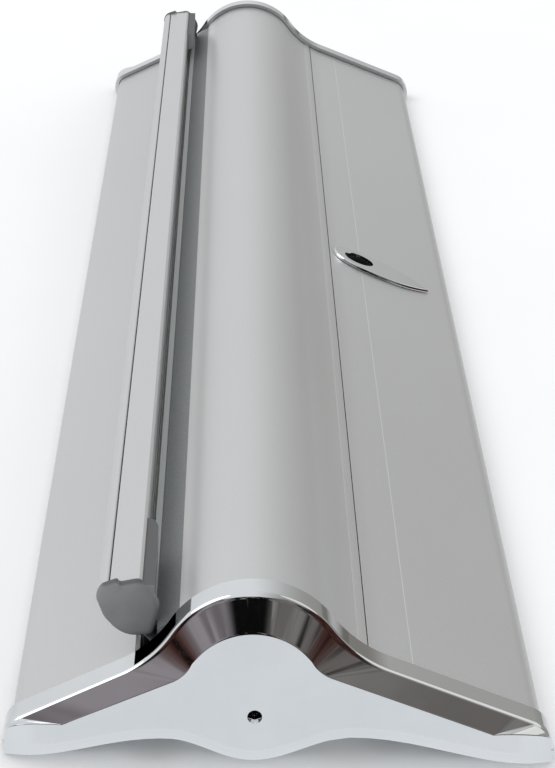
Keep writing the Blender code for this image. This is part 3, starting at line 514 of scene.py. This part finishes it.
def moulded(name, dark, light, rough, grain_depth=0.02 * MM, worn=None, top=1.0):
    """Moulded plastic or rubber with a spark-eroded grain, paler rubbed edges and, for a top
    under 1, painted shade that darkens upward faces."""
    f = Finish(name)
    cloud = f.noise(60, detail=3)
    grain = f.noise(2600, detail=2)
    tone = f.mix(f.remap(cloud, 0.3, 0.7), dark, light)
    worn = worn or tuple(min(1.0, 1.5 * c + 0.01) for c in light)
    tone = f.mix(f.math("MULTIPLY", f.edges(0.5 * MM), 0.6), tone, worn)
    # Painted shade: faces turned upwards are darkened by top.
    if top < 1:
        normal = f.node("ShaderNodeNewGeometry").outputs["Normal"]
        upward = f.node("ShaderNodeSeparateXYZ", {0: normal}).outputs["Z"]
        tone = f.mix(f.remap(upward, 0.5, 0.9), tone, tuple(top * c for c in dark))
    f.color(tone)
    f.roughness(f.remap(grain, 0.3, 0.7, rough - 0.06, rough + 0.06))
    f.bump((grain, grain_depth), (cloud, 0.05 * MM))
    return f.material


def bare_metal(name, dark, light, rough):
    """Plated or spring steel: mottled plating with fine scratches."""
    f = Finish(name, metallic=1.0)
    spangle = f.noise(240, detail=5)
    scratch = f.noise(30, (1, 22, 22), detail=6, roughness=0.7)
    f.color(f.mix(f.remap(spangle, 0.3, 0.7), dark, light))
    f.roughness(f.remap(f.math("MULTIPLY", spangle, scratch), 0.1, 0.4, rough - 0.07, rough + 0.09))
    f.bump((scratch, 0.02 * MM))
    return f.material


def felt():
    """Black needled felt: matted fibres, no shine."""
    f = Finish("felt")
    fibres = f.noise(900, (0.25, 1, 1), detail=6, roughness=0.75)
    tone = f.mix(f.remap(fibres, 0.35, 0.7), (0.018, 0.018, 0.020), (0.075, 0.075, 0.080))
    f.color(tone)
    f.shader.inputs["Roughness"].default_value = 0.95
    f.shader.inputs["Sheen Weight"].default_value = 0.5
    f.bump((fibres, 0.3 * MM))
    return f.material


def film():
    """Matt white print film: almost flat, with a faint lie of the roll and a fine orange peel."""
    f = Finish("film")
    lie = f.noise(2, (1, 1, 6), detail=2)
    peel = f.noise(1100, detail=2)
    f.color(f.mix(f.remap(lie, 0.3, 0.7), (0.80, 0.80, 0.79), (0.86, 0.86, 0.855)))
    f.roughness(f.remap(peel, 0.3, 0.7, 0.36, 0.46))
    f.bump((peel, 0.01 * MM), (lie, 0.4 * MM))
    f.shader.inputs["Subsurface Weight"].default_value = 0.05
    return f.material


FINISHES = {
    "satin_aluminium": satin_aluminium,
    "chrome": chrome,
    # The grey plastic gets painted shade on its upward faces.
    "grey_plastic": lambda: moulded(
        "grey_plastic", (0.180, 0.187, 0.192), (0.225, 0.232, 0.238), 0.58, top=0.5),
    "black_plastic": lambda: moulded("black_plastic", (0.014, 0.014, 0.015), (0.030, 0.030, 0.032), 0.45),
    "white_plastic": lambda: moulded("white_plastic", (0.68, 0.68, 0.66), (0.76, 0.76, 0.74), 0.40),
    "zinc_steel": lambda: bare_metal("zinc_steel", (0.48, 0.50, 0.52), (0.66, 0.67, 0.68), 0.33),
    "spring_steel": lambda: bare_metal("spring_steel", (0.16, 0.17, 0.20), (0.27, 0.27, 0.29), 0.36),
    "rubber": lambda: moulded("rubber", (0.012, 0.012, 0.012), (0.026, 0.026, 0.026), 0.80, 0.05 * MM),
    "felt": felt,
    "film": film,
}
made_finishes = {}


def finish_of(slot):
    if slot not in made_finishes:
        made_finishes[slot] = FINISHES[slot]()
    return made_finishes[slot]


# Cassette


def front_flank():
    """Barrel housing in front: the dome, a flat flank and the raised ledge over the slot."""
    dome = arc((0, DOME_Z), DOME_R - SKIN_INSET, 90, FLANK_EDGE, 32)
    lip = (FLANK_FOOT[0] + 0.15 * MM, LEDGE_Z)
    return dome + [FLANK_FOOT, lip, (LEDGE_TIP_Y, LEDGE_Z)]


def barrel_housing():
    """The barrel's skin from the slot's wall under the floor to the seam, and over the dome to the ledge."""
    rear = wing_top(REAR_WING, SKIN_INSET)
    corner = (SEAM_Y, height_at(rear, SEAM_Y))
    bead = [(SEAM_Y - back, height_at(rear, SEAM_Y - back) + rise) for back, rise in SEAM_BEAD]
    rear = [p for p in rear if p[0] < bead[0][0] - 0.2 * MM] + bead + [corner]
    line = mirrored(front_flank())[::-1] + rear[1:]
    line += underside(REAR_ARCH, SEAM_Y, 0)
    line += mirrored(underside(FRONT_ARCH, 0, SLOT_WALL_Y))[1:]
    line += [(-SLOT_WALL_Y, SLOT_WALL_TOP)]
    made = shape("housing_skin", prism(wall(line, WALL), -EXTRUSION_HALF, EXTRUSION_HALF))
    beyond = BODY_HALF + 5 * MM
    for side in (-1, 1):
        # The ledge stops short of the rail's end caps, and the flank short of the cap's rim.
        for x, y0, y1, z in NOTCHES:
            carve(made, box(side * x, side * beyond, y0, y1, z, NOTCH_TOP))
    # The flank's finish holds painted shade behind the rail and painted light beside the dome's edge.
    flank = satin_aluminium("satin_aluminium_flank", flank=True)
    settle(made, "satin_aluminium", "base", ["barrel_housing"], bevel=0.3 * MM, sharp=20, finish=flank)


def wing_wall(wing, y_start, floor_return):
    """A wing's skin with its inner web, its rounded tip and a short floor return."""
    top = wing_outline(wing, SKIN_INSET)
    start = (y_start, height_at(top, y_start))
    line = [(y_start, WEB_FOOT), start] + [p for p in top if p[0] > y_start + 0.5 * MM]
    tip_y = line[-1][0]
    line += arc((tip_y - RETURN_CURL, RETURN_Z + RETURN_CURL), RETURN_CURL, 0, -90, 6)
    return wall(line + [(tip_y - floor_return, RETURN_Z)], WALL)


def wings():
    outline = mirrored(wing_wall(FRONT_WING, SLOT_WALL_Y + GAP, 9 * MM))
    made = shape("front_wing_skin", prism(outline, -EXTRUSION_HALF, EXTRUSION_HALF))
    settle(made, "satin_aluminium", "base", ["front_wing"], bevel=0.25 * MM)
    outline = wing_wall(REAR_WING, SEAM_Y + SEAM_GAP, 12 * MM)
    made = shape("rear_wing_skin", prism(outline, -EXTRUSION_HALF, EXTRUSION_HALF))
    carve(made, upright(arc((SOCKET_X, SOCKET_Y), SOCKET_R + GAP, 0, 360, 48)[:-1], 15 * MM, 45 * MM))
    marked = satin_aluminium("satin_aluminium_scribed", SCRIBE_Y + BARREL_Y)
    settle(made, "satin_aluminium", "base", ["rear_wing"], bevel=0.25 * MM, finish=marked)


def face_outline(wing, face, steps=16):
    """The flat end face's top edge on one side: a smaller dome, a slope and a level tip."""
    points = wing_top(face, 0, *FACE_DOME)
    corner = face["tip"]
    level, end = corner[1] + FACE_RISE, wing_tip(wing, 0)[-1][0] - FACE_SHORT
    for i in range(1, steps + 1):
        angle = math.pi / 2 * i / steps
        y = corner[0] + (end - corner[0]) * math.sin(angle) ** 0.8
        points.append((y, FACE_FLOOR + (level - FACE_FLOOR) * max(math.cos(angle), 0) ** 0.5))
    return points


def nose_at(y):
    """How far the cap's face stands out at y: it is rounded back at both wing tips."""
    wing = FRONT_WING if y < 0 else REAR_WING
    start, end = wing["tip"][0] - NOSE_START, wing["tip"][0] + NOSE_END
    share = min(max((abs(y) - start) / (end - start), 0), 1)
    return CAP_NOSE * math.sqrt(1 - 0.92 * share * share)


def rounded_ends(rings, steps=8):
    """Closes both wing tips below their outermost point with a round nose, not a flat."""
    added = []
    for ring in (rings[0], rings[-1]):
        _, tip_y, tip_z = ring[0]
        turned = []
        for i in range(1, steps + 1):
            angle = math.pi / 2 * i / steps
            lift, draw = 0.96 * (1 - math.cos(angle)), 0.98 * math.sin(angle)
            turned.append([(x, y + (tip_y - y) * draw, z + (tip_z - z) * lift) for x, y, z in ring])
        added.append(turned)
    return added[0][::-1] + rings + added[1]


def end_cap(label, side):
    """A cast cap: rim, rounded top edge, bevel, rounded face edge, face and rolled-under foot."""
    outer = mirrored(wing_outline(FRONT_WING, 0))[::-1] + wing_outline(REAR_WING, 0)[1:]
    face = mirrored(face_outline(FRONT_WING, FRONT_FACE))[::-1] + face_outline(REAR_WING, REAR_FACE)[1:]
    rings = []
    for (y, z), (fy, fz) in zip(outer, face):
        low = arch_height(FRONT_ARCH if fy < 0 else REAR_ARCH, abs(fy))
        nose = nose_at(fy)
        back, lip, front = BODY_HALF - RIM_LENGTH, BODY_HALF, BODY_HALF + nose
        line = [(back, y, z), (lip, y, z), (front, fy, fz), (front, fy, low + FOOT_HEIGHT),
                (BODY_HALF + nose / 2, fy, low), (lip, fy, low), (back, fy, low)]
        rings.append([(side * x, py, pz) for x, py, pz in soften(line, CAP_CORNERS)])
    made = shape(f"end_cap_{label}_casting", loft(rounded_ends(rings)))
    sleeve = mirrored(wing_outline(FRONT_WING, RIM_WALL))[::-1]
    sleeve += wing_outline(REAR_WING, RIM_WALL)[1:]
    room = [(sleeve[0][0], -20 * MM)] + sleeve + [(sleeve[-1][0], -20 * MM)]
    carve(made, prism(room, side * (BODY_HALF - 30 * MM), side * (BODY_HALF - 1.5 * MM)))
    for y0, y1, z0, z1 in LUGS:
        lug = box(side * (EXTRUSION_HALF - 7 * MM), side * (BODY_HALF - 0.5 * MM), y0, y1, z0, z1)
        carve(made, lug, "UNION")
    # The key hole flares out to the face, most of all below.
    rings = []
    for x, radius, rise in KEY_HOLE:
        circle = arc((ROLLER_Y, ROLLER_Z + rise), radius, 0, 360, 40)[:-1]
        rings.append([(side * (BODY_HALF + x), y, z) for y, z in circle])
    carve(made, loft(rings))
    settle(made, "chrome", "base", [f"end_cap_{label}"], sharp=32)


def leaf_half_width(s):
    """Half the leaf's width at s along the wing's slope: a round end that draws to a point."""
    if s < 0:
        return LEAF_WIDTH * math.sqrt(max(1 - (s / LEAF_BACK) ** 2, 0))
    return LEAF_WIDTH * math.cos(math.pi / 2 * (s / LEAF_LENGTH) ** 1.6)


def escutcheon():
    """Crowned, leaf-shaped chrome plate round the pole hole, leaning along the wing."""
    stations = [-LEAF_BACK * math.cos(math.radians(a)) for a in range(5, 90, 5)]
    stations += [LEAF_LENGTH * 0.985 * i / 40 for i in range(41)]
    rim = [(leaf_half_width(s), s) for s in stations]
    outline = [(0, -LEAF_BACK)] + rim + [(0, LEAF_LENGTH)] + [(-x, s) for x, s in reversed(rim)]
    rings = []
    for step in range(9):
        angle = math.pi / 2 * step / 8
        lift = LEAF_LIFT + (LEAF_HEIGHT - LEAF_LIFT) * math.sin(angle)
        share = 1 - LEAF_ROUND * (1 - math.cos(angle)) / LEAF_WIDTH
        rings.append([((x + LEAF_LEAN * s) * share, s * share, lift) for x, s in outline])
    bm = loft(rings)
    top = height_at(wing_outline(REAR_WING, SKIN_INSET), SOCKET_Y)
    tilt = Matrix.Rotation(-math.atan(REAR_WING["slope"]), 4, "X")
    bm.transform(Matrix.Translation((SOCKET_X, SOCKET_Y, top)) @ tilt)
    made = shape("pole_escutcheon_leaf", bm)
    carve(made, upright(arc((SOCKET_X, SOCKET_Y), SOCKET_BORE, 0, 360, 64)[:-1], 0, 60 * MM))
    settle(made, "chrome", "base", ["pole_escutcheon"], bevel=0.2 * MM, sharp=50)


# Top rail


def rail_body():
    low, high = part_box("rail_body")
    line = RAIL_BODY + [(RAIL_BODY[-1][0], low.z)]
    made = shape("rail_body_extrusion", prism(wall(line, RAIL_WALL), -high.x, high.x))
    settle(made, "satin_aluminium", "top_rail", ["rail_body"], bevel=0.3 * MM)


def rail_jaw():
    outline = wall(RAIL_JAW[::-1], RAIL_WALL)
    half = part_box("rail_jaw")[1].x
    made = shape("rail_jaw_extrusion", prism(soften(outline, 1.2 * MM, 4, True), -half, half))
    settle(made, "satin_aluminium", "rail_clamp", ["rail_jaw"], bevel=0.2 * MM)


def rail_cap(label, side):
    """Shield-shaped, slightly domed plastic end with a spigot inside the rail and a tongue along its back."""
    outline = soften(RAIL_END, 1.2 * MM, 4, True)
    middle_y, middle_z = RAIL_END_MIDDLE
    rings = []
    for back, share in RAIL_END_DOME:
        at = side * (RAIL_HALF - back)
        rings.append([(at, middle_y + (y - middle_y) * share, middle_z + (z - middle_z) * share)
                      for y, z in outline])
    made = shape(f"rail_cap_{label}_moulding", loft(rings))
    near, far = RAIL_HALF - 1 * MM, RAIL_HALF - TONGUE
    reach, *spigot = RAIL_SPIGOT
    carve(made, box(side * (RAIL_HALF - reach), side * near, *spigot), "UNION")
    plan = [(near, TONGUE_INNER), (far, TONGUE_INNER)]
    for step in range(1, 13):
        angle = math.pi / 2 * step / 12
        across = (TONGUE_OUTER - TONGUE_INNER) * math.sin(angle)
        plan.append((far + TONGUE_ROUND * (1 - math.cos(angle)), TONGUE_INNER + across))
    plan.append((near, TONGUE_OUTER))
    carve(made, upright([(side * x, y) for x, y in plan], TONGUE_LOW, TONGUE_TOP), "UNION")
    settle(made, "grey_plastic", "top_rail", [f"rail_cap_{label}"], bevel=0.35 * MM, sharp=40)


def banner_sheet():
    """The film between slot and rail. It stays in the slot."""
    slot_end, rail_end, clamped = (Vector(p) for p in FILM_LINE)
    rows = [slot_end.lerp(rail_end, i / 48) for i in range(49)]
    rows += [rail_end.lerp(clamped, i / 4) for i in range(1, 5)]
    columns = 24
    bm = bmesh.new()
    grid = []
    for y, z in rows:
        xs = [-FILM_HALF + 2 * FILM_HALF * i / columns for i in range(columns + 1)]
        grid.append([bm.verts.new((x, y, z)) for x in xs])
    for a, b in zip(grid, grid[1:]):
        for i in range(columns):
            bm.faces.new((a[i], a[i + 1], b[i + 1], b[i]))
    made = shape("banner_sheet", bm)
    step = made.modifiers.new("thickness", "SOLIDIFY")
    step.thickness = FILM
    step.offset = 0
    settle(made, "film", None, ["banner_film"])
    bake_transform(made)


# Pieces whose CAD shape is right already


def polish(node, body, slot, bevel):
    """The CAD node's own shape with its facets merged, its edges rounded and smooth shading."""
    bm = bmesh.new()
    bm.from_mesh(frame["nodes"][node].data)
    bmesh.ops.remove_doubles(bm, verts=bm.verts, dist=0.002 * MM)
    bmesh.ops.dissolve_limit(bm, angle_limit=math.radians(0.5), verts=bm.verts, edges=bm.edges)
    made = shape(f"{node}_finished", bm)
    settle(made, slot, body, [node], bevel=bevel, shift=False)


# Studio


def studio_world():
    """Soft white surroundings for diffuse light. What the metal mirrors is dimmer towards the
    rear side, and behind the camera it is a dark room with browner and greyer patches."""
    world = bpy.data.worlds.new("studio")
    scene.world = world
    world.use_nodes = True
    tree = world.node_tree
    tree.nodes.clear()
    f = Finish.__new__(Finish)
    f.tree = tree
    f.place = f.node("ShaderNodeTexCoord").outputs["Generated"]
    axes = f.node("ShaderNodeSeparateXYZ", {0: f.place}).outputs
    soft = f.mix(f.remap(axes["Y"], -0.06, 0.46), (0.84, 0.85, 0.86), (0.38, 0.375, 0.355))
    soft = f.mix(f.remap(axes["Z"], 0.02, 0.42, 0.14, 0), soft, (0, 0, 0))
    ragged = f.math("MULTIPLY", f.math("SUBTRACT", f.noise(3.2, detail=3), 0.5), 0.16)
    across = f.math("ABSOLUTE", axes["Y"], 0)
    beside = f.math("ADD", ragged, f.remap(axes["Y"], 0.62, 0.84, 0, 0.55))
    behind = f.remap(f.math("ADD", axes["X"], beside), -0.10, 0.08)
    low = f.remap(f.math("ADD", axes["Z"], ragged), 0.93, 0.86)
    wide = f.mix(f.remap(f.noise(4.0, detail=3), 0.42, 0.60), (0.008, 0.005, 0.005), (0.072, 0.028, 0.023))
    blobs = f.mix(f.remap(f.noise(6.5, detail=3), 0.44, 0.58), (0.025, 0.022, 0.021), (0.15, 0.138, 0.13))
    left = f.mix(f.remap(f.noise(5.0, detail=3), 0.44, 0.62), (0.30, 0.275, 0.29), (0.16, 0.14, 0.145))
    right = f.mix(f.remap(f.noise(6.0, detail=3), 0.42, 0.62), (0.150, 0.138, 0.130), (0.215, 0.205, 0.195))
    middle = f.remap(f.noise(7.5, (1, 1.3, 0.6), detail=3), 0.57, 0.64)
    middle = f.mix(middle, (0.004, 0.004, 0.004), (0.30, 0.28, 0.27))
    patches = f.mix(f.remap(axes["Y"], 0.12, 0.34), middle, right)
    patches = f.mix(f.remap(axes["Y"], 0.56, 0.62), patches, blobs)
    patches = f.mix(f.remap(axes["Y"], -0.22, -0.40), patches, left)
    patches = f.mix(f.remap(f.math("ADD", across, ragged), 0.68, 0.82), patches, wide)
    mirrored_room = f.mix(f.math("MULTIPLY", behind, low), soft, patches)
    glossy = f.node("ShaderNodeLightPath").outputs["Is Glossy Ray"]
    color = f.mix(glossy, (0.94, 0.945, 0.95), mirrored_room)
    background = f.node("ShaderNodeBackground", {"Color": color, "Strength": 1.0})
    output = f.node("ShaderNodeOutputWorld")
    tree.links.new(background.outputs[0], output.inputs["Surface"])


def area_light(name, at, size, power):
    data = bpy.data.lights.new(name, "AREA")
    data.shape = "DISK"
    data.size = size
    data.energy = power
    lamp = bpy.data.objects.new(name, data)
    lamp.location = at
    lamp.rotation_euler = (-Vector(at)).to_track_quat("-Z", "Y").to_euler()
    lamp.visible_camera = False
    scene.collection.objects.link(lamp)


def floor():
    """A plain pale floor with barely visible mottling. To polished metal it shows a painted
    reflection instead, a glow: bright before the end cap, dimmer at the rear side."""
    bm = bmesh.new()
    bmesh.ops.create_grid(bm, x_segments=1, y_segments=1, size=30)
    made = shape("studio_floor", bm)
    made.location.z = -0.1 * MM
    f = Finish("studio_floor")
    f.color(f.mix(f.remap(f.noise(5, detail=3), 0.3, 0.7), (0.918, 0.924, 0.932), (0.932, 0.938, 0.945)))
    f.shader.inputs["Roughness"].default_value = 0.9
    f.shader.inputs["Specular IOR Level"].default_value = 0.1
    axes = f.node("ShaderNodeSeparateXYZ", {0: f.place}).outputs
    # Painted reflection: the glow that metal mirrors of the floor is darker towards the rear side.
    rear = f.mix(f.remap(axes["Y"], 0.02, 0.40), (0.74, 0.75, 0.76), (0.24, 0.235, 0.22))
    painted_floor_glow = f.mix(f.remap(axes["X"], 0.36, 0.46), rear, (0.84, 0.865, 0.885))
    glow = f.node("ShaderNodeEmission", {"Color": painted_floor_glow, "Strength": 1.0})
    glossy = f.node("ShaderNodeLightPath").outputs["Is Glossy Ray"]
    mixed = f.node("ShaderNodeMixShader", {0: glossy, 1: f.shader.outputs[0], 2: glow.outputs[0]})
    f.tree.links.new(mixed.outputs[0], f.tree.nodes["Material Output"].inputs["Surface"])
    made.data.materials.append(f.material)


def camera():
    yaw, pitch, roll = (math.radians(a) for a in (CAMERA_YAW, CAMERA_PITCH, CAMERA_ROLL))
    ahead = Vector((-math.cos(pitch) * math.cos(yaw), -math.cos(pitch) * math.sin(yaw), -math.sin(pitch)))
    right = ahead.cross(Vector((0, 0, 1))).normalized()
    up = right.cross(ahead)
    right, up = (right * math.cos(roll) + up * math.sin(roll), up * math.cos(roll) - right * math.sin(roll))
    data = bpy.data.cameras.new("camera")
    data.lens = LENS
    data.sensor_width = 36
    data.clip_start = 0.01
    made = bpy.data.objects.new("camera", data)
    made.matrix_world = Matrix.Translation(CAMERA_AT) @ Matrix((right, up, -ahead)).transposed().to_4x4()
    scene.collection.objects.link(made)
    scene.camera = made


# The whole


barrel_housing()
wings()
for label, side in (("left", -1), ("right", 1)):
    end_cap(label, side)
    rail_cap(label, side)
escutcheon()
rail_body()
rail_jaw()
banner_sheet()
for entry in frame["record"]["subparts"]:
    obj = frame["nodes"][entry["node"]]
    if not obj.hide_render:
        polish(entry["node"], obj["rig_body"], entry["material_slot"], 0.25 * MM)

studio_world()
area_light("key", (-0.6, -1.7, 2.1), 1.8, 12)
area_light("fill", (-1.2, 1.6, 1.8), 1.6, 3)
floor()
camera()
scene.view_settings.view_transform = "Standard"
